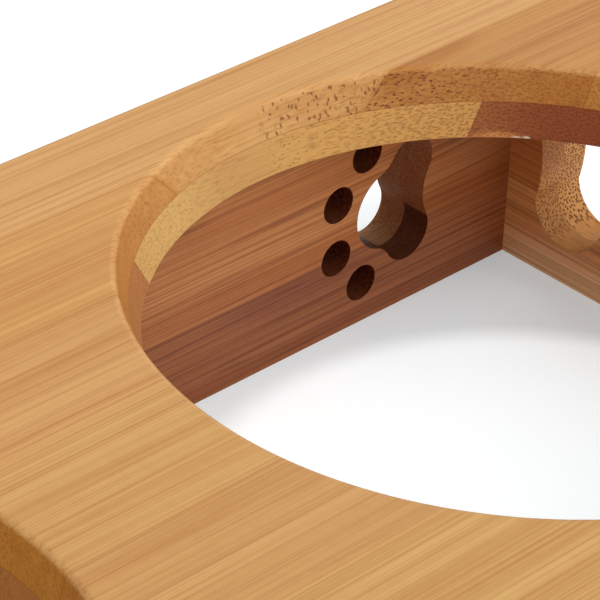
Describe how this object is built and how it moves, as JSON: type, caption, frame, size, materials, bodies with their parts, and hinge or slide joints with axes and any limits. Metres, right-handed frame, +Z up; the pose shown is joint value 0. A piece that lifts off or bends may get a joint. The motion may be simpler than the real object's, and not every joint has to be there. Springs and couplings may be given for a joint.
{
  "type": "elevated double pet bowl",
  "caption": "Low bamboo feeding stand with round tapered holes for bowls, paw and bone cut-outs in its walls, and steel bowls that lift out and stand before it.",
  "frame": {"origin": "on the floor, at the bottom centre of the whole set: stand at the back, bowls in front. This is at the foot of the middle of the stand's front wall.", "axes": "+X along the stand towards its right end as seen from the front, +Y from the bowls and the front wall towards the back wall, +Z up"},
  "size_m": [0.3224, 0.3055, 0.0555],
  "materials": {
    "bamboo_board": "carbonised bamboo, sanded and satin lacquered",
    "bamboo_wall": "carbonised bamboo, sanded and satin lacquered",
    "dowel_wood": "plain turned beech, hidden in its holes",
    "bowl_steel": "spun stainless steel, satin inside and polished at the rim"
  },
  "bodies": {
    "stand": {"upper_ply": "bamboo_board", "lower_ply": "bamboo_board", "front_wall_inner_ply": "bamboo_wall", "front_wall_outer_ply": "bamboo_wall", "front_wall_dowels": "dowel_wood", "back_wall_inner_ply": "bamboo_wall", "back_wall_outer_ply": "bamboo_wall", "back_wall_dowels": "dowel_wood", "left_end_wall_inner_ply": "bamboo_wall", "left_end_wall_outer_ply": "bamboo_wall", "left_end_wall_dowels": "dowel_wood", "right_end_wall_inner_ply": "bamboo_wall", "right_end_wall_outer_ply": "bamboo_wall", "right_end_wall_dowels": "dowel_wood"},
    "left_bowl_body": {"left_bowl": "bowl_steel"},
    "right_bowl_body": {"right_bowl": "bowl_steel"}
  },
  "joints": [
    {"name": "left_bowl_lift", "type": "slide", "parent": "stand", "child": "left_bowl_body", "axis": [0, 0, 1], "range_m": [0, 0.1]},
    {"name": "right_bowl_lift", "type": "slide", "parent": "stand", "child": "right_bowl_body", "axis": [0, 0, 1], "range_m": [0, 0.1]}
  ]
}
